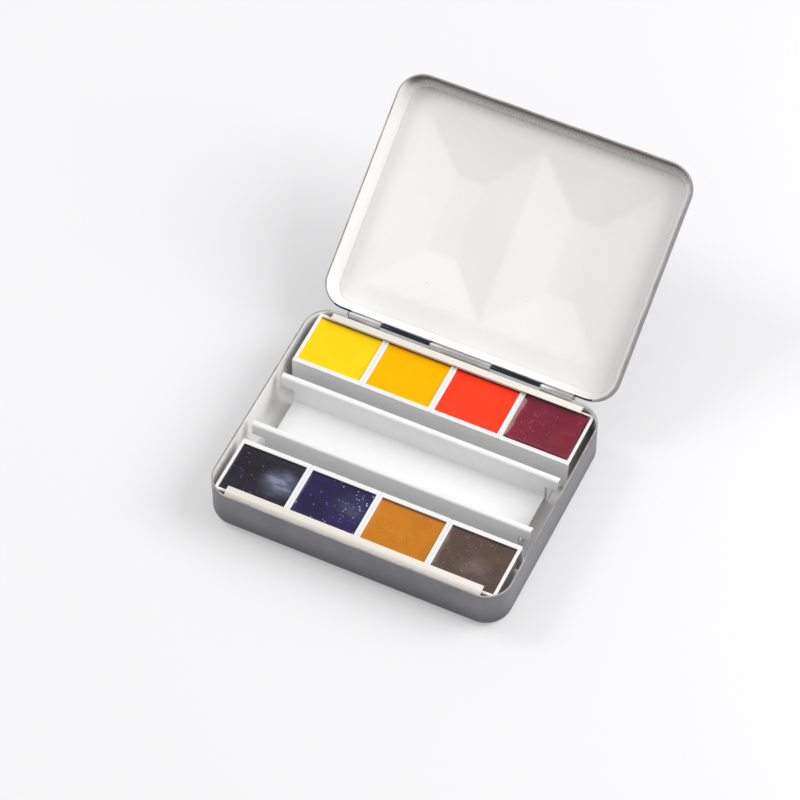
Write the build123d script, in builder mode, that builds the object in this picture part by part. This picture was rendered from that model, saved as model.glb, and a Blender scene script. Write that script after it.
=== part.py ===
"""Small hinged watercolour tin: eight half pans in a folded tray, with a lid pressed into mixing wells.

Millimetres. Z is up, X runs along the hinge, Y runs from the front to the hinge.
The origin is the middle of the tin's underside. The lid stands open, as in use.
The half pans set the tray, and the tray sets the tin.
"""

import os
from math import cos, radians, sin

from build123d import *

# Half pans: a flanged rim on a tapering cup
pan_width = 19.2
pan_length = 16.6
pan_height = 11.6
pan_spacing = 0.1
pan_rim_land = 1.3
pan_rim_corner = 0.9
pan_flange = 1.2
pan_flange_overhang = 1.0
pan_draft = 0.7
pan_wall = 0.9
pan_cup_corner = 0.8

# Paint: cast in the pan, dished on top where it has dried and been used
paint_below_rim = 1.5
paint_dish_depth = 0.4
paint_dish_margin = 1.3
paint_dish_bank = 2.6

paint_rows = [
    ["lemon_yellow", "golden_yellow", "vermilion", "crimson"],
    ["indigo", "violet", "ochre", "umber"],
]

# Tray: one folded sheet, the same along its length, that stands on the tin's bottom
tray_sheet = 0.5
tray_end_notch = 3.5
channel_width = 14.8
channel_depth = 8.4
bar_width = 1.8
bar_above_pans = 0.35
groove_width = 4.5
groove_depth = 3.0
bay_wall_gap = 0.05
bay_room = 0.8
lip_above_pans = 0.65
lip_cover = 1.3
lip_bend = 1.2
sheet_bend = 0.45
tray_foot_clearance = 0.1

# Tin: one pressed sheet with upright walls and a rounded bottom edge
tin_sheet = 0.45
tin_corner = 7.0
tin_bottom_round = 2.6
tray_clearance = 0.15
end_room = 1.95
rim_above_pans = 0.75

# Lid: the same plan as the tin, a shallow skirt and a softly rounded edge
lid_height = 6.0
lid_edge_round = 3.0
lid_open_angle = 147.0
rim_gap = 0.05

# Two mixing wells pressed outwards into the lid, with a ridge between them
well_side_margin = 8.0
well_hinge_margin = 8.6
well_front_margin = 7.8
well_depth = 3.0
well_floor_width = 7.6
well_floor_length = 21.0
well_ridge = 0.8

# Hinge: strips of both rims curled round one wire
pin_diameter = 1.0
pin_clearance = 0.05
pin_overhang = 0.6
pin_end_chamfer = 0.2
curl_sweep = 318.0
centre_knuckle = 17.0
lid_knuckle = 14.0
end_knuckle = 9.0
knuckle_gap = 0.3
knuckle_relief = 0.3

# Places that follow from the sizes above
pan_pitch = pan_width + pan_spacing
row_length = len(paint_rows[0]) * pan_pitch
pan_inner_edge = channel_width / 2 + bar_width + groove_width
pan_outer_edge = pan_inner_edge + pan_length
pan_row_y = (pan_inner_edge + pan_outer_edge) / 2
pan_bottom = tin_sheet + tray_sheet
pan_rim = pan_bottom + pan_height
tray_half_depth = pan_outer_edge + bay_room + tray_sheet
bar_top = pan_rim + bar_above_pans
lip_underside = pan_rim + lip_above_pans
tin_width = row_length + 2 * (end_room + tin_sheet)
tin_depth = 2 * (tray_half_depth + tray_clearance + tin_sheet)
tin_height = pan_rim + rim_above_pans
knuckle_bore = pin_diameter / 2 + pin_clearance
knuckle_radius = knuckle_bore + tin_sheet
notch_depth = knuckle_radius + knuckle_relief
hinge_y = tin_depth / 2 - tin_sheet + knuckle_radius
hinge_z = tin_height
inner_seam = centre_knuckle / 2
outer_seam = inner_seam + lid_knuckle
hinge_end = outer_seam + end_knuckle
lid_slope = radians(180 - lid_open_angle)
lid_frame = Plane(
    origin=(0, hinge_y, hinge_z),
    x_dir=(1, 0, 0),
    z_dir=(0, -sin(lid_slope), cos(lid_slope)),
)
lid_back = hinge_y - tin_depth / 2


def save(builder, name):
    """Label a finished piece and write it to its own file."""
    builder.part.label = name
    export_step(builder.part, "parts/" + name + ".step")


def pressed_block(floor, width, depth, corner, height, edge_round):
    """A rounded rectangle's block that stands on a plane, with the edge of its foot rounded."""
    with BuildPart() as block:
        with BuildSketch(floor):
            RectangleRounded(width, depth, corner)
        extrude(amount=height)
        foot = block.faces().sort_by(Axis((0, 0, 0), floor.z_dir))[0]
        fillet(foot.edges(), edge_round)
    return block.part


def tapered_block(mouth, mouth_size, floor_size, depth):
    """A flat-sided block that narrows from its mouth, on a plane, down to its floor."""
    width, length = mouth_size
    side = (width - floor_size[0]) / 2
    end = (length - floor_size[1]) / 2
    downwards = Plane(origin=mouth.origin, x_dir=mouth.x_dir, z_dir=mouth.y_dir)
    with BuildPart(downwards) as block:
        Wedge(
            width, depth, length, side, end, width - side, length - end,
            align=(Align.CENTER, Align.MIN, Align.CENTER),
        )
    return block.part


def hinge_plane(along, depth_direction):
    """A plane square to the hinge wire, centred on it, with its x pointing away from the wire."""
    return Plane(origin=(along, hinge_y, hinge_z), x_dir=depth_direction, z_dir=(1, 0, 0))


def curl_profile(plane, start, sweep):
    """The rim's edge rolled round the wire, from the angle where the wall runs into it."""
    with BuildSketch(plane) as profile:
        with BuildLine():
            outside = CenterArc((0, 0), knuckle_radius, start, sweep)
            inside = CenterArc((0, 0), knuckle_bore, start, sweep)
            Line(outside @ 0, inside @ 0)
            Line(outside @ 1, inside @ 1)
        make_face()
    return profile.sketch


def make_tin_base():
    """The tin's lower half, with three curled knuckles and two notches for the lid's."""
    outside = pressed_block(Plane.XY, tin_width, tin_depth, tin_corner, tin_height, tin_bottom_round)
    hollow = pressed_block(
        Plane.XY.offset(tin_sheet),
        tin_width - 2 * tin_sheet,
        tin_depth - 2 * tin_sheet,
        tin_corner - tin_sheet,
        tin_height,
        tin_bottom_round - tin_sheet,
    )
    with BuildPart() as tin_base:
        add(outside)
        add(hollow, mode=Mode.SUBTRACT)
        with BuildSketch(Plane.XZ.offset(-tin_depth / 2)):
            for side in (-1, 1):
                with Locations((side * (inner_seam + outer_seam) / 2, hinge_z)):
                    Rectangle(lid_knuckle, 2 * notch_depth)
        extrude(amount=2 * tin_sheet, both=True, mode=Mode.SUBTRACT)
        stretches = [(-hinge_end, -outer_seam), (-inner_seam, inner_seam), (outer_seam, hinge_end)]
        for low, high in stretches:
            start_plane = hinge_plane(low + knuckle_gap / 2, (0, 1, 0))
            extrude(curl_profile(start_plane, 180, -curl_sweep), amount=high - low - knuckle_gap)
    save(tin_base, "tin_base")


def well(surface, side):
    """One hip-shaped well, from a surface of the lid's panel outwards."""
    width = tin_width / 2 - well_side_margin - well_ridge / 2
    length = tin_depth - well_hinge_margin - well_front_margin
    middle = (side * (well_ridge + width) / 2, lid_back + well_hinge_margin + length / 2, 0)
    mouth = Plane(surface.from_local_coords(middle), surface.x_dir, surface.z_dir)
    return tapered_block(mouth, (width, length), (well_floor_width, well_floor_length), well_depth)


def make_tin_lid():
    """The lid, open: its rim plane holds the hinge wire, and the wells bulge away from its hollow."""
    middle = (0, lid_back + tin_depth / 2, 0)
    panel_outside = lid_frame.offset(-lid_height)
    panel_inside = lid_frame.offset(-lid_height + tin_sheet)
    outside_floor = Plane(panel_outside.from_local_coords(middle), lid_frame.x_dir, lid_frame.z_dir)
    inside_floor = Plane(panel_inside.from_local_coords(middle), lid_frame.x_dir, lid_frame.z_dir)
    skirt_face = Plane(lid_frame.from_local_coords((0, lid_back, 0)), lid_frame.x_dir, lid_frame.y_dir)
    outside = pressed_block(
        outside_floor, tin_width, tin_depth, tin_corner, lid_height - rim_gap, lid_edge_round
    )
    hollow = pressed_block(
        inside_floor,
        tin_width - 2 * tin_sheet,
        tin_depth - 2 * tin_sheet,
        tin_corner - tin_sheet,
        lid_height,
        lid_edge_round - tin_sheet,
    )
    with BuildPart() as tin_lid:
        add(outside)
        add(hollow, mode=Mode.SUBTRACT)
        for side in (-1, 1):
            add(well(panel_outside, side))
        for side in (-1, 1):
            add(well(panel_inside, side), mode=Mode.SUBTRACT)
        with BuildSketch(skirt_face):
            Rectangle(centre_knuckle, 2 * notch_depth)
            for side in (-1, 1):
                with Locations((side * (outer_seam + hinge_end) / 2, 0)):
                    Rectangle(end_knuckle, 2 * notch_depth)
        extrude(amount=2 * tin_sheet, both=True, mode=Mode.SUBTRACT)
        for low in (-outer_seam, inner_seam):
            start_plane = hinge_plane(low + knuckle_gap / 2, lid_frame.y_dir)
            extrude(curl_profile(start_plane, 0, curl_sweep), amount=lid_knuckle - knuckle_gap)
    save(tin_lid, "tin_lid")


def make_hinge_pin():
    """The wire that all five knuckles turn on."""
    length = 2 * (hinge_end + pin_overhang)
    with BuildPart() as hinge_pin:
        with BuildSketch(hinge_plane(-length / 2, (0, 1, 0))):
            Circle(pin_diameter / 2)
        extrude(amount=length)
        chamfer(hinge_pin.edges().filter_by(GeomType.CIRCLE), pin_end_chamfer)
    save(hinge_pin, "hinge_pin")


def tray_half_path():
    """Half of the folded sheet's middle line, from the channel to the lip, with each bend's radius."""
    half = tray_sheet / 2
    bar_inside = channel_width / 2 + half
    bar_outside = channel_width / 2 + bar_width - half
    bay_wall = pan_inner_edge - bay_wall_gap - half
    outer_wall = tray_half_depth - half
    foot_bend = tin_bottom_round - tin_sheet - half + tray_foot_clearance
    return [
        ((bar_inside, bar_top - channel_depth - half), sheet_bend),
        ((bar_inside, bar_top - half), sheet_bend),
        ((bar_outside, bar_top - half), sheet_bend),
        ((bar_outside, bar_top - groove_depth - half), sheet_bend),
        ((bay_wall, bar_top - groove_depth - half), sheet_bend),
        ((bay_wall, tin_sheet + half), sheet_bend),
        ((outer_wall, tin_sheet + half), foot_bend),
        ((outer_wall, lip_underside + half), lip_bend),
        ((pan_outer_edge - lip_cover, lip_underside + half), 0),
    ]


def make_pan_tray():
    """The folded tray: a brush channel, two grooved bars and two bays whose lips hold the pans down."""
    right = tray_half_path()
    left = [((-point[0], point[1]), bend) for point, bend in reversed(right)]
    path = left + right
    points = [point for point, bend in path]
    bends = [bend for point, bend in path[1:-1]]
    below_bars = bar_top - groove_depth - tray_sheet - sheet_bend
    outside_bars = tray_half_depth + tray_clearance - pan_inner_edge
    with BuildPart() as pan_tray:
        with BuildSketch(Plane.YZ.offset(-row_length / 2)):
            with BuildLine():
                FilletPolyline(*points, radius=bends)
            trace(line_width=tray_sheet)
        extrude(amount=row_length)
        for side in (-1, 1):
            notch_middle = side * (row_length - tray_end_notch) / 2
            with BuildSketch(Plane.XY):
                with Locations((notch_middle, 0)):
                    Rectangle(tray_end_notch, tin_depth)
            extrude(amount=below_bars, mode=Mode.SUBTRACT)
            with BuildSketch(Plane.XY):
                for row in (-1, 1):
                    with Locations((notch_middle, row * (pan_inner_edge + outside_bars / 2))):
                        Rectangle(tray_end_notch, outside_bars)
            extrude(amount=tin_height + tray_sheet, mode=Mode.SUBTRACT)
    save(pan_tray, "pan_tray")


def pan_size(inset):
    """The pan's plan, drawn in from its rim on all sides."""
    return pan_width - 2 * inset, pan_length - 2 * inset


def pan_hollow(rim):
    """The space in a pan, from its rim to its floor."""
    floor_inset = pan_flange_overhang + pan_draft + pan_wall
    return tapered_block(rim, pan_size(pan_rim_land), pan_size(floor_inset), pan_height - pan_wall)


def make_pan(name, rim):
    """One half pan: a flanged cup that narrows towards its foot."""
    neck = rim.offset(-pan_flange)
    foot_size = pan_size(pan_flange_overhang + pan_draft)
    cup = tapered_block(neck, pan_size(pan_flange_overhang), foot_size, pan_height - pan_flange)
    hollow = pan_hollow(rim)
    with BuildPart() as pan:
        add(cup)
        fillet(pan.edges().filter_by(Plane.XY, reverse=True), pan_cup_corner)
        with BuildSketch(neck):
            RectangleRounded(*pan_size(0), pan_rim_corner)
        extrude(amount=pan_flange)
        add(hollow, mode=Mode.SUBTRACT)
    save(pan, "pan_" + name)


def make_paint(name, rim):
    """The cake of paint in a pan, filling its hollow to just below the rim and dished on top."""
    top = rim.offset(-paint_below_rim)
    dish_inset = pan_rim_land + paint_dish_margin
    dish_floor = pan_size(dish_inset + paint_dish_bank)
    dish = tapered_block(top, pan_size(dish_inset), dish_floor, paint_dish_depth)
    hollow = pan_hollow(rim)
    with BuildPart() as paint:
        add(hollow)
        split(bisect_by=top, keep=Keep.BOTTOM)
        add(dish, mode=Mode.SUBTRACT)
    save(paint, "paint_" + name)


def make_pans():
    """Two rows of pans with their paint, the first row at the hinge side."""
    for row, side in zip(paint_rows, (1, -1)):
        for place, name in enumerate(row):
            x = (place - (len(row) - 1) / 2) * pan_pitch
            rim = Plane(origin=(x, side * pan_row_y, pan_rim))
            make_pan(name, rim)
            make_paint(name, rim)


os.makedirs("parts", exist_ok=True)
make_tin_base()
make_tin_lid()
make_hinge_pin()
make_pan_tray()
make_pans()
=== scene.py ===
from math import cos, exp, pi, radians, sin

import bmesh
import bpy
from mathutils import Matrix, Vector


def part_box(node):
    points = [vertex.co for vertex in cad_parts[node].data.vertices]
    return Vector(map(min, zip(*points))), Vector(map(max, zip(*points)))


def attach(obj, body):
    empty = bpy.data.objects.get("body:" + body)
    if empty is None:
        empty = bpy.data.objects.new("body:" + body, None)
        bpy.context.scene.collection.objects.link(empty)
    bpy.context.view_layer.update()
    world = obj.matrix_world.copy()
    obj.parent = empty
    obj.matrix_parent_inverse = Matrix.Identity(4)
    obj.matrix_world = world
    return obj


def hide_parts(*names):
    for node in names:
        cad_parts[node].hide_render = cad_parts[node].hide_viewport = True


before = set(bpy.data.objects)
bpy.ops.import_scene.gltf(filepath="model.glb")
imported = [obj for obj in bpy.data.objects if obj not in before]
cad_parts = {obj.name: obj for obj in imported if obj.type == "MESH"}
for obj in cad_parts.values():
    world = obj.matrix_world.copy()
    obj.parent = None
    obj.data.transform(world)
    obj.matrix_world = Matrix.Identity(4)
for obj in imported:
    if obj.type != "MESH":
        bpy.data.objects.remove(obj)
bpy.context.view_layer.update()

MM = 0.001

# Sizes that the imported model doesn't state, in metres, as in the part's own source
SHEET = 0.45 * MM
TIN_CORNER = 7.0 * MM
TIN_BOTTOM_ROUND = 2.6 * MM
LID_HEIGHT = 6.0 * MM
LID_EDGE_ROUND = 3.0 * MM
LID_SLOPE = radians(33.0)
RIM_GAP = 0.05 * MM
WIRE_RADIUS = 0.5 * MM
WIRE_CHAMFER = 0.2 * MM
CURL_TURN = radians(318.0)
NOTCH = 1.3 * MM
KNUCKLE_GAP = 0.3 * MM
CENTRE_KNUCKLE = 17.0 * MM
LID_KNUCKLE = 14.0 * MM
END_KNUCKLE = 9.0 * MM
WELL_SIDE = 8.0 * MM
WELL_HINGE = 8.6 * MM
WELL_FRONT = 7.8 * MM
WELL_DEPTH = 3.0 * MM
WELL_FLOOR = (7.6 * MM, 21.0 * MM)
TRAY_NOTCH = 3.5 * MM
CHANNEL = 14.8 * MM
CHANNEL_DEPTH = 8.4 * MM
BAR = 1.8 * MM
BAR_ABOVE_PANS = 0.35 * MM
LIP_COVER = 1.3 * MM
LIP_BEND = 1.2 * MM
SHEET_BEND = 0.45 * MM

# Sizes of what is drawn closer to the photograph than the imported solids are, small edges among them
TRAY_SHEET = 0.3 * MM
BAR_TAB = 3.95 * MM
RIDGE_FRONT = 13.6 * MM
RIDGE = 0.65 * MM
RIDGE_GAP = 0.05 * MM
RIDGE_BEND = 0.17 * MM
RIDGE_FOOT_BEND = 0.4 * MM
BAY_BEND = 2.0 * MM
WIDE_BEND = 1.0 * MM
PAN_GROWTH = 0.035 * MM
PAN_CORNER = 0.3 * MM
PAN_EDGE = 0.1 * MM
PAN_FLANGE = 0.6 * MM
PAN_WALL = 0.8 * MM
PAINT_BELOW_RIM = 0.5 * MM
PAINT_SKIRT = 1.2 * MM
PAINT_INTO_WALL = 0.02 * MM
WELL_CREASE = 0.95 * MM
CREASE_ANGLE = radians(4)
SHEET_EDGE = 0.06 * MM

# How far a pan's outlines lie inside its rim: beside the ridge, beside the tin's wall, and at both ends
PAN_LAND = (1.3 * MM, 0.7 * MM, 0.8 * MM)
PAN_NECK = (0.72 * MM, 0.6 * MM, 0.5 * MM)
PAN_FOOT = (2.3 * MM, 1.7 * MM, 1.3 * MM)
PAN_INSIDE_FOOT = (3.1 * MM, 2.5 * MM, 2.1 * MM)

# Room for a place to count as met, a gap to count as closed, and a curl's faces to count as round the wire
NEAR = 0.02 * MM
MERGE = 0.005 * MM
CURL_REACH = 1.08 * MM

ROWS = [["lemon_yellow", "golden_yellow", "vermilion", "crimson"], ["indigo", "violet", "ochre", "umber"]]

tin_low, tin_high = (Vector(corner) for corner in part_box("tin_base"))
wire_low, wire_high = (Vector(corner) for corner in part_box("hinge_pin"))
tray_low, tray_high = (Vector(corner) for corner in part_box("pan_tray"))
TIN_WIDTH = tin_high.x - tin_low.x
TIN_DEPTH = -2 * tin_low.y
HINGE = Vector((0, (wire_low.y + wire_high.y) / 2, (wire_low.z + wire_high.z) / 2))
TIN_HEIGHT = HINGE.z
LID_BACK = HINGE.y - TIN_DEPTH / 2
INNER_SEAM = CENTRE_KNUCKLE / 2
OUTER_SEAM = INNER_SEAM + LID_KNUCKLE
HINGE_END = OUTER_SEAM + END_KNUCKLE


# Modelling by hand: one piece in edit mode, its parts picked by place

def alone(piece=None):
    """Leave object mode's selection on one piece, or on nothing."""
    if bpy.context.mode != "OBJECT":
        bpy.ops.object.mode_set(mode="OBJECT")
    bpy.ops.object.select_all(action="DESELECT")
    if piece:
        piece.select_set(True)
        bpy.context.view_layer.objects.active = piece


def opened(name):
    """Name the primitive that was just added, with its place in its mesh, and open it for editing."""
    piece = bpy.context.object
    piece.name = name
    piece.data.name = name
    bpy.ops.object.transform_apply(location=True, rotation=True, scale=True)
    bpy.ops.object.mode_set(mode="EDIT")
    return piece


def rectangle(name, centre, size):
    """Start a piece as one level rectangle."""
    alone()
    bpy.ops.mesh.primitive_plane_add(size=1, location=centre)
    bpy.context.object.scale = (*size, 1)
    return opened(name)


def select_all(kind):
    """Select the whole mesh as vertices, edges or faces."""
    bpy.ops.mesh.select_mode(type=kind)
    bpy.ops.mesh.select_all(action="SELECT")


def pick(piece, kind, test):
    """Select the faces or edges that pass a test on their middle and the item itself."""
    bpy.ops.mesh.select_mode(type={"edges": "EDGE", "faces": "FACE"}[kind])
    bpy.ops.mesh.select_all(action="DESELECT")
    mesh = bmesh.from_edit_mesh(piece.data)
    for item in getattr(mesh, kind):
        if kind == "edges":
            middle = (item.verts[0].co + item.verts[1].co) / 2
        else:
            middle = item.calc_center_median()
        if test(middle, item):
            item.select_set(True)
    mesh.select_flush_mode()
    bmesh.update_edit_mesh(piece.data)


def near(value, target, room=NEAR):
    """Whether a value lies at its target, within some room."""
    return abs(value - target) < room


def at(room=NEAR, **place):
    """A test for what has its middle at a place, given by one or more of x, y and z."""
    def met(middle, item):
        """Whether every coordinate that was given is met."""
        return all(near(getattr(middle, axis), value, room) for axis, value in place.items())
    return met


def cut(axis, place):
    """Cut the whole piece by a plane square to an axis."""
    select_all("FACE")
    point, normal = [0, 0, 0], [0, 0, 0]
    point["xyz".index(axis)] = place
    normal["xyz".index(axis)] = 1
    bpy.ops.mesh.bisect(plane_co=point, plane_no=normal)


def extrude_edges(x, y, z):
    """Draw the picked edges out into new faces."""
    bpy.ops.mesh.extrude_edges_move(TRANSFORM_OT_translate={"value": (x, y, z)})


def extrude_faces(height):
    """Move the picked faces up or down, with a wall round them."""
    bpy.ops.mesh.extrude_region_move(TRANSFORM_OT_translate={"value": (0, 0, height)})


def round_off(radius, segments, affect="EDGES"):
    """Round the picked edges, or the picked corners of a flat sheet."""
    bpy.ops.mesh.bevel(offset=radius, offset_type="OFFSET", segments=segments, profile=0.5, affect=affect)


def face_outwards():
    """Point all faces of the piece the same way, outwards."""
    select_all("FACE")
    bpy.ops.mesh.normals_make_consistent(inside=False)


def finish_mesh(piece, materials, modifiers, smooth_angle=35):
    """Leave edit mode, give the materials, apply the modifiers in order and smooth all but real edges."""
    alone(piece)
    for material in materials:
        piece.data.materials.append(material)
    for kind, settings in modifiers:
        modifier = piece.modifiers.new(kind.title(), kind)
        for key, value in settings.items():
            setattr(modifier, key, value)
        bpy.ops.object.modifier_apply(modifier=modifier.name)
    bpy.ops.object.shade_smooth_by_angle(angle=radians(smooth_angle))


def wall(thickness, offset=-1, **more):
    """A Solidify modifier's settings for a sheet of one thickness."""
    return ("SOLIDIFY", dict(thickness=thickness, offset=offset, use_quality_normals=True, **more))


def soften(width, segments=2, angle=60):
    """A Bevel modifier's settings for worn or moulded edges."""
    return ("BEVEL", dict(width=width, segments=segments, limit_method="ANGLE", angle_limit=radians(angle)))


# Pressed tin and lid

def pressed_shell(name, height, edge_round, middle_y):
    """The open sheet form of the tin or the lid, floor at z = 0 and rim at its height."""
    piece = rectangle(name, (0, middle_y, 0), (TIN_WIDTH, TIN_DEPTH))
    bpy.ops.mesh.select_all(action="SELECT")
    round_off(TIN_CORNER, 14, affect="VERTICES")
    pick(piece, "edges", lambda middle, edge: True)
    extrude_edges(0, 0, height)
    pick(piece, "edges", at(z=0))
    round_off(edge_round, 8)
    face_outwards()
    return piece


def knuckle_cuts(height):
    """Edges at the ends of every knuckle and at the depth of the notches."""
    for seam in (INNER_SEAM, OUTER_SEAM, HINGE_END):
        for side in (-1, 1):
            for shift in (-KNUCKLE_GAP / 2, KNUCKLE_GAP / 2, 0):
                cut("x", side * seam + shift)
    cut("z", height - NOTCH)


def stretches(own):
    """The stretches of the hinge line that belong to the tin, or to the lid."""
    if own == "tin":
        return [(-HINGE_END, -OUTER_SEAM), (-INNER_SEAM, INNER_SEAM), (OUTER_SEAM, HINGE_END)]
    return [(-OUTER_SEAM, -INNER_SEAM), (INNER_SEAM, OUTER_SEAM)]


def notch_faces(wall_y, bottom, low, high):
    """A test for the hinge wall's faces above a notch's bottom, between its ends."""
    return lambda middle, face: near(middle.y, wall_y) and low < middle.x < high and middle.z > bottom


def rim_edges(wall_y, rim, low, high):
    """A test for the rim's edges that lie wholly between a knuckle's ends, its gaps left off."""
    start, end = low + KNUCKLE_GAP / 2 - NEAR / 2, high - KNUCKLE_GAP / 2 + NEAR / 2
    return lambda middle, edge: (near(middle.y, wall_y) and near(middle.z, rim)
                                 and all(start < vert.co.x < end for vert in edge.verts))


def curl_knuckles(piece, own, wall_y, height, centre, turn):
    """Notch the hinge wall for the other half's knuckles and roll this half's own round the wire."""
    other = "lid" if own == "tin" else "tin"
    for low, high in stretches(other):
        pick(piece, "faces", notch_faces(wall_y, height - NOTCH, low, high))
        bpy.ops.mesh.delete(type="FACE")
    for low, high in stretches(own):
        pick(piece, "edges", rim_edges(wall_y, height, low, high))
        bpy.ops.mesh.spin(steps=22, angle=turn, center=centre, axis=(1, 0, 0), dupli=False)
    select_all("VERT")
    bpy.ops.mesh.remove_doubles(threshold=MERGE)


def thicken(piece, materials, centre):
    """Give the pressed sheet its wall, and the curls round a centre in y and z the last of the materials."""
    sheet = wall(SHEET, material_offset=1, material_offset_rim=2)
    finish_mesh(piece, materials, [sheet, soften(SHEET_EDGE)])
    for face in piece.data.polygons:
        if (face.center.yz - Vector(centre)).length < CURL_REACH:
            face.material_index = len(materials) - 1


def make_tin(materials):
    """The lower half of the tin."""
    piece = pressed_shell("tin_lower_half", TIN_HEIGHT, TIN_BOTTOM_ROUND, 0)
    knuckle_cuts(TIN_HEIGHT)
    curl_knuckles(piece, "tin", TIN_DEPTH / 2, TIN_HEIGHT, HINGE, -CURL_TURN)
    thicken(piece, materials, HINGE.yz)
    return piece


def press_wells(piece):
    """Press the lid's two mixing wells outwards, each a hip roof in shape, and ease its folds."""
    outer_x = TIN_WIDTH / 2 - WELL_SIDE
    near_y, far_y = LID_BACK + WELL_HINGE, LID_BACK + TIN_DEPTH - WELL_FRONT
    for place in (-outer_x, 0, outer_x):
        cut("x", place)
    for place in (near_y, far_y):
        cut("y", place)
    shrink = (WELL_FLOOR[0] / outer_x, WELL_FLOOR[1] / (far_y - near_y), 1)
    for side in (-1, 1):
        centre = Vector((side * outer_x / 2, (near_y + far_y) / 2, 0))
        pick(piece, "faces", at(x=centre.x, y=centre.y, z=0, room=0.1 * MM))
        extrude_faces(-WELL_DEPTH)
        bpy.ops.transform.resize(value=shrink, center_override=centre)

    def crease(middle, edge):
        """The folds of the panel: the wells' edges and the panel's outline, but not its flat cuts."""
        if middle.z > NEAR / 2 or len(edge.link_faces) < 2:
            return False
        return edge.calc_face_angle(0) > CREASE_ANGLE
    pick(piece, "edges", crease)
    round_off(WELL_CREASE, 4)


def make_lid(materials):
    """The lid, pressed flat first and then turned open about the wire."""
    height = LID_HEIGHT - RIM_GAP
    piece = pressed_shell("tin_lid_shell", height, LID_EDGE_ROUND, LID_BACK + TIN_DEPTH / 2)
    press_wells(piece)
    knuckle_cuts(height)
    curl_knuckles(piece, "lid", LID_BACK, height, (0, 0, LID_HEIGHT), CURL_TURN)
    thicken(piece, materials, (0, LID_HEIGHT))
    to_wire = Matrix.Translation((0, 0, -LID_HEIGHT))
    piece.matrix_world = Matrix.Translation(HINGE) @ Matrix.Rotation(LID_SLOPE, 4, "X") @ to_wire
    bpy.ops.object.transform_apply(location=True, rotation=True, scale=True)
    return piece


def make_wire(materials):
    """The hinge wire, its cut ends chamfered."""
    alone()
    length = wire_high.x - wire_low.x
    bpy.ops.mesh.primitive_cylinder_add(vertices=24, radius=WIRE_RADIUS, depth=length, location=HINGE,
                                        rotation=(0, pi / 2, 0))
    piece = opened("hinge_wire")

    def end_ring(middle, edge):
        """The edges round the two cut ends."""
        return all(near(abs(vert.co.x), length / 2) for vert in edge.verts)
    pick(piece, "edges", end_ring)
    bpy.ops.mesh.bevel(offset=WIRE_CHAMFER, segments=3, affect="EDGES")
    finish_mesh(piece, materials, [])
    return piece


# The folded tray

def make_tray(materials):
    """One folded sheet, drawn as half its section, folded, mirrored and cut back at its ends."""
    half = TRAY_SHEET / 2
    pan_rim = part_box("pan_lemon_yellow")[1][2]
    bar_top = pan_rim + BAR_ABOVE_PANS
    ridge_top = pan_rim - PAN_FLANGE - RIDGE_GAP
    bar_edge, ridge_edge = CHANNEL / 2 + BAR, RIDGE_FRONT + RIDGE
    length = tray_high.x - tray_low.x

    # The sheet's middle at each fold, and the bend there, from the channel's edge out to the lip
    bar_inside, bar_outside = CHANNEL / 2 + half, bar_edge - half
    ridge_inside, ridge_outside = RIDGE_FRONT + half, ridge_edge - half
    outer = tray_high.y - half
    floor = tray_low.z + half
    lip = tray_high.z - half
    channel_floor = bar_top - CHANNEL_DEPTH - half
    folds = [(bar_inside, channel_floor, SHEET_BEND),
             (bar_inside, bar_top - half, SHEET_BEND),
             (bar_outside, bar_top - half, SHEET_BEND),
             (bar_outside, floor, SHEET_BEND),
             (ridge_inside, floor, SHEET_BEND),
             (ridge_inside, ridge_top - half, RIDGE_BEND),
             (ridge_outside, ridge_top - half, RIDGE_BEND),
             (ridge_outside, floor, RIDGE_FOOT_BEND),
             (outer, floor, BAY_BEND),
             (outer, lip, LIP_BEND)]
    ends = [(y, z) for y, z, bend in folds] + [(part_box("pan_lemon_yellow")[1][1] - LIP_COVER, lip)]

    piece = rectangle("folded_tray", (0, bar_inside / 2, channel_floor), (length, bar_inside))
    for (y, z), (new_y, new_z) in zip(ends, ends[1:]):
        pick(piece, "edges", at(x=0, y=y, z=z))
        extrude_edges(0, new_y - y, new_z - z)
    for y, z, bend in folds:
        pick(piece, "edges", at(x=0, y=y, z=z))
        round_off(bend, 5 if bend < WIDE_BEND else 9)
    for side in (-1, 1):
        cut("x", side * (length / 2 - TRAY_NOTCH))
    tab_end = bar_top - BAR_TAB
    cut("z", tab_end)
    cut("z", TIN_BOTTOM_ROUND)

    def beyond_the_tray(middle, face):
        """What the notched ends lose: all but the bars' tabs, and the ridges down to the tin's curve."""
        if abs(middle.x) < length / 2 - TRAY_NOTCH:
            return False
        if middle.y < bar_edge:
            return middle.z < tab_end
        return middle.z < TIN_BOTTOM_ROUND or middle.y > ridge_edge
    pick(piece, "faces", beyond_the_tray)
    bpy.ops.mesh.delete(type="FACE")
    face_outwards()
    mirror = ("MIRROR", dict(use_axis=(False, True, False), merge_threshold=NEAR / 2))
    finish_mesh(piece, materials, [mirror, wall(TRAY_SHEET, offset=0), soften(SHEET_EDGE)])
    return piece


# Pans

def pan_corners(name):
    """The lowest and highest corners of a pan: its rim lies over its ridge and close to its neighbours."""
    low, high = (Vector(corner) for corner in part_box("pan_" + name))
    low.x -= PAN_GROWTH
    high.x += PAN_GROWTH
    if high.y > 0:
        low.y = RIDGE_FRONT
    else:
        high.y = -RIDGE_FRONT
    return low, high


def middle_of(name):
    """The middle of a pan, level with half its height."""
    low, high = pan_corners(name)
    return (low + high) / 2


def outline(low, high, inset):
    """The sides of one of a pan's outlines, as its lowest and highest x and y."""
    ridge, wall_side, end = inset
    if high.y < 0:
        ridge, wall_side = wall_side, ridge
    return (low.x + end, high.x - end), (low.y + ridge, high.y - wall_side)


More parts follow.
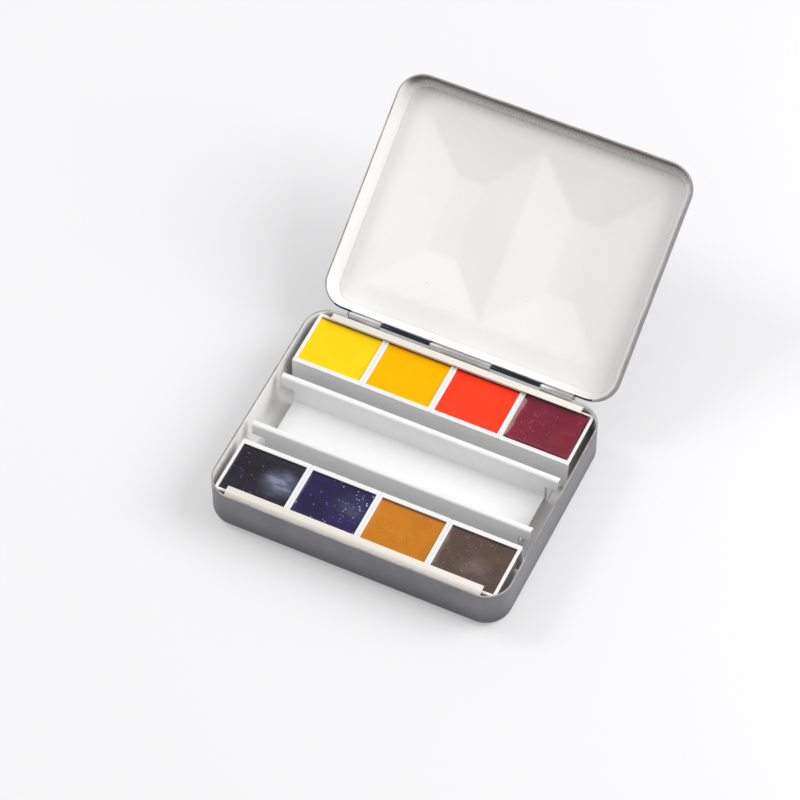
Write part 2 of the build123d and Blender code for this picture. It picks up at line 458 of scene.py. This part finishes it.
def reshape(old, new, level):
    """Stretch the picked face from one outline to another."""
    value, centre = [], []
    for (old_low, old_high), (new_low, new_high) in zip(old, new):
        scale = (new_high - new_low) / (old_high - old_low)
        value.append(scale)
        centre.append((new_low - scale * old_low) / (1 - scale) if abs(1 - scale) > 0.0001 else old_low)
    bpy.ops.transform.resize(value=(*value, 1), center_override=(*centre, level))


def make_pan(materials):
    """One half pan, moulded in the first pan's place, to be copied for the others."""
    low, high = pan_corners("lemon_yellow")
    rim = outline(low, high, (0, 0, 0))
    neck = outline(low, high, PAN_NECK)
    foot = outline(low, high, PAN_FOOT)
    mouth = outline(low, high, PAN_LAND)
    inside_foot = outline(low, high, PAN_INSIDE_FOOT)
    (west, east), (south, north) = foot
    piece = rectangle("pan_lemon_yellow_cup", ((west + east) / 2, (south + north) / 2, low.z),
                      (east - west, north - south))
    neck_level = high.z - PAN_FLANGE
    floor = low.z + PAN_WALL
    level = low.z
    for new_level, old, new in ((neck_level, foot, neck), (neck_level, neck, rim), (high.z, rim, rim),
                                (high.z, rim, mouth), (floor, mouth, inside_foot)):
        extrude_faces(new_level - level)
        reshape(old, new, new_level)
        level = new_level

    def rim_corner(middle, edge):
        """The upright edges at the flange's four corners."""
        upright = abs(edge.verts[0].co.z - edge.verts[1].co.z) > PAN_FLANGE / 2
        return upright and middle.z > neck_level and (near(middle.x, low.x) or near(middle.x, high.x))
    pick(piece, "edges", rim_corner)
    round_off(PAN_CORNER, 4)
    face_outwards()
    finish_mesh(piece, materials, [soften(PAN_EDGE, segments=3, angle=30)], smooth_angle=40)
    return piece


def copy_to(piece, name, place, home):
    """A copy of the first pan with its own mesh, moved to its place and turned to face its own ridge."""
    twin = piece.copy()
    twin.data = piece.data.copy()
    twin.name = twin.data.name = name
    bpy.context.collection.objects.link(twin)
    turn = Matrix.Rotation(pi if place.y < 0 else 0, 4, "Z")
    twin.data.transform(Matrix.Translation(place) @ turn @ Matrix.Translation(-home))
    return twin


# Paint

# Each paint: its two tones; how matt and how glossy it is; how it climbs at the pan's walls, over what
# reach, and how it dips and swells, in mm; how strong its dried bubbles, with their painted highlight, and
# its painted sheen are, and where they crowd, in mm from the pan's middle
SMOOTH_CAKE = dict(climb=0.1, reach=0.5, dish=0.06, swell=0.0, bubbles=0.0, crowd=(0, 0), painted_sheen=0.0)
PAINTS = {
    "lemon_yellow": dict(SMOOTH_CAKE, tones=((0.98, 0.63, 0.006), (0.95, 0.59, 0.005)),
                         rough=0.55, gloss=0.12),
    "golden_yellow": dict(SMOOTH_CAKE, tones=((1.0, 0.455, 0.0), (0.99, 0.43, 0.0)),
                          rough=0.55, gloss=0.05),
    "vermilion": dict(SMOOTH_CAKE, tones=((1.0, 0.052, 0.016), (0.98, 0.045, 0.014)),
                      rough=0.5, gloss=0.12),
    "crimson": dict(tones=((0.205, 0.016, 0.034), (0.16, 0.012, 0.027)), rough=0.1, gloss=0.4, climb=0.75,
                    reach=0.9, dish=0.5, swell=0.05, bubbles=0.25, crowd=(-3, 2), painted_sheen=0.0),
    "indigo": dict(tones=((0.018, 0.016, 0.028), (0.010, 0.008, 0.013)), rough=0.2, gloss=0.4, climb=0.35,
                   reach=0.8, dish=0.4, swell=0.06, bubbles=0.25, crowd=(4.5, 0), painted_sheen=0.85),
    "violet": dict(tones=((0.020, 0.012, 0.080), (0.013, 0.008, 0.045)), rough=0.2, gloss=0.4, climb=0.35,
                   reach=0.8, dish=0.4, swell=0.06, bubbles=1.0, crowd=(5, 1), painted_sheen=0.16),
    "ochre": dict(tones=((0.54, 0.19, 0.010), (0.49, 0.165, 0.008)), rough=0.3, gloss=0.25, climb=0.3,
                  reach=0.8, dish=0.3, swell=0.03, bubbles=0.35, crowd=(0, 0), painted_sheen=0.0),
    "umber": dict(tones=((0.105, 0.062, 0.045), (0.075, 0.046, 0.034)), rough=0.22, gloss=0.5, climb=0.4,
                  reach=1.0, dish=0.45, swell=0.05, bubbles=0.3, crowd=(2, -2), painted_sheen=0.14,
                  painted_sheen_tone=(0.45, 0.42, 0.38)),
}
BLUE_SHEEN = (0.27, 0.32, 0.46)
BUBBLE_HIGHLIGHT = (0.62, 0.67, 0.88)

# A cake's swell along x and along y: radians for each mm, and where the wave starts
SWELL_X = (0.9, 1.3)
SWELL_Y = (0.8, 0.4)


def shape_cake(piece, centre, half_x, half_y, look):
    """Let a level grid of paint climb at the pan's walls, dip in the middle and swell a little."""
    mesh = bmesh.from_edit_mesh(piece.data)
    for vert in mesh.verts:
        x, y = vert.co.x - centre.x, vert.co.y - centre.y
        edge = min(half_x - abs(x), half_y - abs(y)) / MM
        climb = look["climb"] * exp(-edge / look["reach"])
        dish = look["dish"] * max(0, 1 - (x / half_x) ** 2) * max(0, 1 - (y / half_y) ** 2)
        wave = sin(x / MM * SWELL_X[0] + SWELL_X[1]) * cos(y / MM * SWELL_Y[0] + SWELL_Y[1])
        vert.co.z += (climb - dish + look["swell"] * wave * min(1, edge)) * MM
    bmesh.update_edit_mesh(piece.data)


def make_paint(name, materials):
    """The cake of paint in one pan: a shaped top, with a skirt down the pan's wall and a flat underside."""
    low, high = pan_corners(name)
    depth = high.z - low.z - PAN_WALL

    def cavity(below):
        """The hollow's outline at some depth below the rim, a hair into the pan's wall."""
        share = below / depth
        return outline(low, high, [mouth + share * (foot - mouth) - PAINT_INTO_WALL
                                   for mouth, foot in zip(PAN_LAND, PAN_INSIDE_FOOT)])
    top = high.z - PAINT_BELOW_RIM
    (west, east), (south, north) = cavity(PAINT_BELOW_RIM)
    centre = Vector(((west + east) / 2, (south + north) / 2, top))
    half_x, half_y = (east - west) / 2, (north - south) / 2
    alone()
    bpy.ops.mesh.primitive_grid_add(x_subdivisions=64, y_subdivisions=56, size=1, location=centre)
    bpy.context.object.scale = (2 * half_x, 2 * half_y, 1)
    piece = opened("paint_" + name + "_cake")
    shape_cake(piece, centre, half_x, half_y, PAINTS[name])
    select_all("EDGE")
    bpy.ops.mesh.region_to_loop()
    extrude_edges(0, 0, -PAINT_SKIRT)
    reshape(((west, east), (south, north)), cavity(PAINT_BELOW_RIM + PAINT_SKIRT), top)
    bpy.ops.mesh.edge_face_add()
    face_outwards()
    finish_mesh(piece, materials, [], smooth_angle=50)
    return piece


# Shader maths

class Socket:
    """An output of a shader node; arithmetic on it adds Math nodes to the same finish."""

    def __init__(self, finish, output):
        self.finish, self.output = finish, output

    def math(self, operation, first, second):
        """A Math node on two values or sockets."""
        return self.finish.node("ShaderNodeMath", {"operation": operation},
                                {"Value": first, "Value_001": second})

    def __add__(self, other):
        return self.math("ADD", self, other)

    def __mul__(self, other):
        return self.math("MULTIPLY", self, other)

    def __sub__(self, other):
        return self.math("SUBTRACT", self, other)

    def __rsub__(self, other):
        return self.math("SUBTRACT", other, self)

    __radd__ = __add__
    __rmul__ = __mul__


class Finish:
    """A material, built node by node."""

    def __init__(self, name):
        self.material = bpy.data.materials.new(name)
        self.material.use_nodes = True
        self.tree = self.material.node_tree
        self.tree.nodes.clear()
        self.place = self.node("ShaderNodeTexCoord", {}, {}, "Object")

    def node(self, kind, settings, inputs, out=None):
        """Add a node: its settings first, then the values or links of its sockets."""
        node = self.tree.nodes.new(kind)
        for key, value in settings.items():
            setattr(node, key, value)
        sockets = {socket.identifier: socket for socket in node.inputs}
        for key, value in inputs.items():
            if isinstance(value, Socket):
                self.tree.links.new(value.output, sockets[key])
            else:
                sockets[key].default_value = value
        outputs = {socket.identifier: socket for socket in node.outputs}
        return Socket(self, outputs[out] if out else next(s for s in node.outputs if s.enabled))

    def noise(self, scale, detail, stretch=None):
        """A soft random value from place to place, drawn out where it has a stretch."""
        place = self.place
        if stretch:
            place = self.node("ShaderNodeMapping", {}, {"Vector": place, "Scale": stretch})
        return self.node("ShaderNodeTexNoise", {},
                         {"Vector": place, "Scale": scale, "Detail": detail}, "Fac")

    def cells(self, scale):
        """The distance to the nearest of many scattered points."""
        return self.node("ShaderNodeTexVoronoi", {}, {"Vector": self.place, "Scale": scale}, "Distance")

    def ramp(self, value, start, end):
        """0 to 1, smoothly, as a value goes from start to end."""
        if start > end:
            return 1 - self.ramp(value, end, start)
        return self.node("ShaderNodeMapRange", {"interpolation_type": "SMOOTHSTEP"},
                         {"Value": value, "From Min": start, "From Max": end,
                          "To Min": 0.0, "To Max": 1.0}, "Result")

    def along(self, axis):
        """The place's coordinate on one axis."""
        return self.node("ShaderNodeSeparateXYZ", {}, {"Vector": self.place}, axis)

    def dot(self, vector, direction):
        """How far a vector reaches in a direction."""
        return self.node("ShaderNodeVectorMath", {"operation": "DOT_PRODUCT"},
                         {"Vector": vector, "Vector_001": direction}, "Value")

    def specks(self, scale, size):
        """A few small round specks, far apart."""
        chosen = self.ramp(self.noise(scale * 0.7, 0), 0.66, 0.68)
        return (1 - self.ramp(self.cells(scale), size * 0.5, size)) * chosen

    def blend(self, mask, one, other):
        """One colour turning to another as a mask goes from 0 to 1."""
        one, other = (c if isinstance(c, Socket) else (*c, 1) for c in (one, other))
        return self.node("ShaderNodeMix", {"data_type": "RGBA"},
                         {"Factor_Float": mask, "A_Color": one, "B_Color": other}, "Result_Color")

    def clouded(self, cloud, one, other):
        """Two close tones that drift into each other."""
        return self.blend(self.ramp(cloud, 0.3, 0.7), one, other)

    def bump(self, height, distance, strength):
        """A normal that follows a height."""
        return self.node("ShaderNodeBump", {},
                         {"Height": height, "Distance": distance, "Strength": strength})

    def orange_peel(self):
        """The faintly uneven surface of sprayed and baked enamel."""
        return self.bump(self.noise(700, 1), 0.04 * MM, 0.25)

    def surface(self, **sockets):
        """The shader itself, with its socket names written with underscores."""
        shader = self.node("ShaderNodeBsdfPrincipled", {},
                           {key.replace("_", " "): value for key, value in sockets.items()})
        self.output(shader)
        return self.material

    def output(self, shader):
        """Make a shader the material's surface."""
        end = self.tree.nodes.new("ShaderNodeOutputMaterial")
        self.tree.links.new(shader.output, end.inputs["Surface"])


# Finishes

ENAMEL = (0.86, 0.855, 0.845)


def toned(colour, share):
    """A colour made lighter or darker."""
    return tuple(share * c for c in colour)


def grey_lacquer(name, foot=0.0):
    """Satin grey lacquer on tinplate, faintly grained and mottled, and, given a foot's height, darker from
    there down with painted shade.
    """
    finish = Finish(name)
    mottle = finish.noise(140, 3)
    colour = finish.clouded(mottle, (0.185, 0.183, 0.197), (0.225, 0.222, 0.237))
    # Painted shade: the wall darkens from the foot's height down to the table.
    if foot:
        colour = finish.blend(finish.ramp(finish.along("Z"), foot, 0.0), colour, (0.095, 0.092, 0.098))
    return finish.surface(Base_Color=colour, Metallic=0.55, Roughness=0.33 + 0.14 * mottle,
                          Normal=finish.bump(finish.noise(1800, 2), 0.02 * MM, 0.35))


def tin_enamel():
    """White enamel baked on the tin's inside: nearly flat, with a faint orange peel."""
    finish = Finish("tin_inside")
    cloud = finish.noise(60, 3)
    return finish.surface(Base_Color=finish.clouded(cloud, ENAMEL, toned(ENAMEL, 0.975)),
                          Roughness=0.3 + 0.1 * cloud, Normal=finish.orange_peel())


def lid_enamel():
    """The lid's white enamel, sprayed from the front: it thins out to uncoated metal up the far wall, and
    painted shade darkens the far wall and greys the right one near the rim.
    """
    finish = Finish("lid_inside")
    cloud = finish.noise(60, 3)
    colour = finish.clouded(cloud, ENAMEL, toned(ENAMEL, 0.975))

    # Place on the lid: how far from the wire, and how far from the panel towards the rim
    from_wire = finish.node("ShaderNodeVectorMath", {"operation": "SUBTRACT"},
                            {"Vector": finish.place, "Vector_001": tuple(HINGE)}, "Vector")
    outwards = finish.dot(from_wire, (0, cos(LID_SLOPE), sin(LID_SLOPE)))
    above = finish.dot(from_wire, (0, -sin(LID_SLOPE), cos(LID_SLOPE))) + LID_HEIGHT
    far = LID_BACK + TIN_DEPTH
    far_side = finish.ramp(outwards, far - 5 * MM, far - 2 * MM)
    right_side = finish.ramp(finish.along("X"), 35 * MM, 39 * MM)

    # Up the far wall the enamel thins out to bare metal, darkened and browned by painted shade; near the rim
    # of the right wall, painted shade greys it.
    spray = finish.noise(2600, 2) - 0.5
    height = above + spray * (2.2 * MM)
    thin_enamel_and_shade = finish.ramp(height, -0.2 * MM, 2.4 * MM) * far_side
    shaded = finish.ramp(height, 2.5 * MM, 6.0 * MM) * right_side * 0.35
    bare_metal_and_shade = finish.blend(finish.ramp(above, 0.8 * MM, 3.2 * MM), (0.30, 0.255, 0.215), (0.10, 0.098, 0.102))
    colour = finish.blend(shaded, colour, (0.42, 0.40, 0.385))
    colour = finish.blend(thin_enamel_and_shade, colour, bare_metal_and_shade)
    colour = finish.blend(finish.specks(420, 0.06), colour, (0.25, 0.23, 0.22))
    return finish.surface(Base_Color=colour, Roughness=0.3 + 0.1 * cloud, Normal=finish.orange_peel())


def tray_enamel():
    """The tray's white enamel, a little creamier and darker on the lips: partly a cream tint, partly painted
    shade.
    """
    finish = Finish("tray_white")
    cloud = finish.noise(60, 3)
    across = finish.node("ShaderNodeMath", {"operation": "ABSOLUTE"}, {"Value": finish.along("Y")})
    # The lips' creamier, darker tone: partly their tint, partly painted shade.
    lips = finish.ramp(across, 27.5 * MM, 29.0 * MM)
    colour = finish.blend(lips, finish.clouded(cloud, (0.84, 0.84, 0.84), (0.825, 0.825, 0.825)),
                          (0.765, 0.73, 0.66))
    return finish.surface(Base_Color=colour, Roughness=0.34 + 0.1 * cloud, Normal=finish.orange_peel())


def bare_edge():
    """The cut edge of the tinplate, thinly covered by the enamel's overspray."""
    finish = Finish("bare_edge")
    wear = finish.noise(260, 3)
    return finish.surface(Base_Color=finish.clouded(wear, (0.30, 0.29, 0.285), (0.46, 0.44, 0.42)),
                          Metallic=0.35, Roughness=0.35 + 0.2 * wear)


def knuckle_metal(name, tone, shine):
    """A rolled knuckle, its lacquer rubbed by the wire and drawn along the roll."""
    finish = Finish(name)
    rub = finish.noise(700, 3, stretch=(0.15, 1, 1))
    return finish.surface(Base_Color=finish.blend(finish.ramp(rub, 0.4, 0.75), tone, toned(tone, 1.6)),
                          Metallic=0.7, Roughness=shine + 0.15 * rub)


def pan_plastic():
    """White moulded polystyrene, a little glossy."""
    finish = Finish("pan_plastic")
    cloud = finish.noise(90, 3)
    return finish.surface(Base_Color=finish.clouded(cloud, (0.82, 0.818, 0.82), (0.795, 0.793, 0.797)),
                          Roughness=0.28 + 0.12 * cloud,
                          Normal=finish.bump(finish.noise(1200, 1), 0.03 * MM, 0.2))


def wire_steel():
    """Drawn steel wire, its marks along its length."""
    finish = Finish("wire_steel")
    draw = finish.noise(900, 2, stretch=(0.02, 1, 1))
    return finish.surface(Base_Color=finish.blend(draw, (0.30, 0.30, 0.32), (0.48, 0.48, 0.5)),
                          Metallic=1.0, Roughness=0.25 + 0.2 * draw)


def closeness_to_crowd(finish, name):
    """1 where a cake's bubbles and painted sheen crowd, falling to 0 round about, sooner across the pan's
    depth.
    """
    crowd_x, crowd_y = PAINTS[name]["crowd"]
    pan = middle_of(name)
    squeeze = 1.3
    flat = finish.node("ShaderNodeMapping", {}, {"Vector": finish.place, "Scale": (1, squeeze, 0)})
    centre = (pan.x + crowd_x * MM, (pan.y + crowd_y * MM) * squeeze, 0)
    spread = finish.node("ShaderNodeVectorMath", {"operation": "DISTANCE"},
                         {"Vector": flat, "Vector_001": centre}, "Value")
    return 1 - finish.ramp(spread, 1.0 * MM, 8.5 * MM)


def paint_finish(name):
    """Dried watercolour: uneven tone, soft undulation and, in some, dried bubbles with a painted highlight
    and a painted sheen; in all, a painted shadow along the back wall.
    """
    look = PAINTS[name]
    finish = Finish("paint_" + name)
    cloud = finish.noise(220, 4)
    colour = finish.clouded(cloud, *look["tones"])
    closeness = closeness_to_crowd(finish, name)
    height = finish.noise(300, 2) * 0.35
    # Painted sheen: a paler cloud, bluish or greyish, laid where the glossy cakes reflect the lamps.
    if look["painted_sheen"]:
        streaks = 0.35 + 0.65 * finish.ramp(finish.noise(230, 5, stretch=(1, 2.2, 1)), 0.38, 0.68)
        painted_sheen = closeness * closeness * streaks * look["painted_sheen"]
        colour = finish.blend(painted_sheen, colour, look.get("painted_sheen_tone", BLUE_SHEEN))
    if look["bubbles"]:
        size = 0.12 + 0.3 * finish.noise(700, 2)
        crowd = finish.ramp(finish.noise(620, 2) + closeness * 0.15 * look["bubbles"], 0.52, 0.68)
        bubbles = finish.ramp(size - finish.cells(1500), 0.0, 0.14) * crowd
        height = height + bubbles * 1.5
        # The bubbles' pale bluish tone is a painted highlight, the lamps' glint on them.
        colour = finish.blend(bubbles * look["bubbles"], colour, BUBBLE_HIGHLIGHT)
    # Painted shadow along the pan's back wall, where the lip or ridge overhangs the paint.
    back_wall = outline(*pan_corners(name), PAN_LAND)[1][1]
    shade = finish.ramp(finish.along("Y"), back_wall - 0.9 * MM, back_wall - 0.25 * MM)
    colour = finish.blend(shade * 0.85, colour, toned(look["tones"][1], 0.12))
    return finish.surface(Base_Color=colour, Roughness=look["rough"] + 0.1 * cloud,
                          Specular_IOR_Level=look["gloss"], Normal=finish.bump(height, 0.2 * MM, 0.5))


# Putting the set together

def belongs(piece, body, node):
    """Put a finished piece on the body it rides on, and hide the node it stands for."""
    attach(piece, body)
    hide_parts(node)


edge_steel = bare_edge()
tin = make_tin([grey_lacquer("tin_outside", foot=9.0 * MM), tin_enamel(), edge_steel,
                knuckle_metal("tin_knuckles", (0.55, 0.55, 0.56), 0.35)])
belongs(tin, "base", "tin_base")
# The lid's knuckles get a near-black tone as painted shade: they lie in shade behind the rim and mirror dark
# surroundings.
lid = make_lid([grey_lacquer("lid_outside"), lid_enamel(), edge_steel,
                knuckle_metal("lid_knuckles_painted_shade", (0.025, 0.03, 0.045), 0.15)])
belongs(lid, "lid", "tin_lid")
belongs(make_wire([wire_steel()]), "base", "hinge_pin")
belongs(make_tray([tray_enamel()]), "tray", "pan_tray")

first_pan = make_pan([pan_plastic()])
home = middle_of("lemon_yellow")
for row in ROWS:
    for colour_name in row:
        body = "pan_" + colour_name
        pan = first_pan
        if colour_name != "lemon_yellow":
            pan = copy_to(first_pan, body + "_cup", middle_of(colour_name), home)
        belongs(pan, body, body)
        cake = make_paint(colour_name, [paint_finish(colour_name)])
        belongs(cake, body, "paint_" + colour_name)


# Floor, lights and camera

# The photograph's camera, solved from the set's edges in it: place in metres, lens in mm, angles in degrees
CAMERA_PLACE = (0.246698, -0.515957, 0.815614)
CAMERA_LENS = 176.6
CAMERA_SENSOR = 36
CAMERA_AZIMUTH = 25.6846
CAMERA_ELEVATION = 53.7909
CAMERA_ROLL = -0.2975

# Where the lamps aim, how far the table lies below the set, and two strengths fitted to the photograph
LAMPS_AIM = (0, 10 * MM, 10 * MM)
FLOOR_DROP = 0.02 * MM
TABLE_GLOW = 0.34
STUDIO_LIGHT = 0.53


def make_floor():
    """A pale table that keeps the shadow; to the camera and in a gloss it is lighter than it lights."""
    alone()
    bpy.ops.mesh.primitive_plane_add(size=6, location=(0, 0, -FLOOR_DROP))
    floor = bpy.context.object
    floor.name = "table"
    finish = Finish("table")
    seen = [finish.node("ShaderNodeLightPath", {}, {}, ray)
            for ray in ("Is Camera Ray", "Is Glossy Ray", "Is Transmission Ray")]
    rays = finish.node("ShaderNodeMath", {"operation": "ADD", "use_clamp": True},
                       {"Value": seen[0] + seen[1], "Value_001": seen[2]})
    diffuse = finish.node("ShaderNodeBsdfDiffuse", {}, {"Color": (0.53, 0.525, 0.535, 1)})
    glow = finish.node("ShaderNodeEmission", {}, {"Color": (1, 1, 1, 1), "Strength": rays * TABLE_GLOW})
    finish.output(finish.node("ShaderNodeAddShader", {}, {"Shader": diffuse, "Shader_001": glow}))
    floor.data.materials.append(finish.material)


def softbox(name, place, size, power):
    """A square soft light that faces the set."""
    light = bpy.data.lights.new(name, "AREA")
    light.shape, light.size, light.energy = "SQUARE", size, power
    lamp = bpy.data.objects.new(name, light)
    bpy.context.collection.objects.link(lamp)
    lamp.location = place
    lamp.rotation_euler = (Vector(LAMPS_AIM) - Vector(place)).to_track_quat("-Z", "Y").to_euler()


def make_world():
    """The studio's even light from all round."""
    world = bpy.data.worlds.new("studio")
    bpy.context.scene.world = world
    world.use_nodes = True
    background = world.node_tree.nodes["Background"]
    background.inputs["Color"].default_value = (1, 0.99, 1, 1)
    background.inputs["Strength"].default_value = STUDIO_LIGHT


def make_camera():
    """The photograph's camera."""
    camera_data = bpy.data.cameras.new("photo_camera")
    camera_data.sensor_width = CAMERA_SENSOR
    camera_data.lens = CAMERA_LENS
    camera = bpy.data.objects.new("photo_camera", camera_data)
    bpy.context.collection.objects.link(camera)
    azimuth, elevation, roll = radians(CAMERA_AZIMUTH), radians(CAMERA_ELEVATION), radians(CAMERA_ROLL)
    level_right = Vector((cos(azimuth), sin(azimuth), 0))
    forward = Vector((-sin(azimuth) * cos(elevation), cos(azimuth) * cos(elevation), -sin(elevation)))
    level_up = level_right.cross(forward)
    right = level_right * cos(roll) + level_up * sin(roll)
    up = -level_right * sin(roll) + level_up * cos(roll)
    turn = Matrix((right, up, -forward)).transposed().to_4x4()
    camera.matrix_world = Matrix.Translation(CAMERA_PLACE) @ turn
    bpy.context.scene.camera = camera


make_floor()
softbox("left_softbox", place=(-0.55, 0.0, 0.66), size=0.28, power=1.95)
softbox("right_softbox", place=(0.62, 0.25, 0.6), size=0.6, power=6.2)
make_world()
make_camera()
bpy.context.scene.view_settings.view_transform = "Standard"
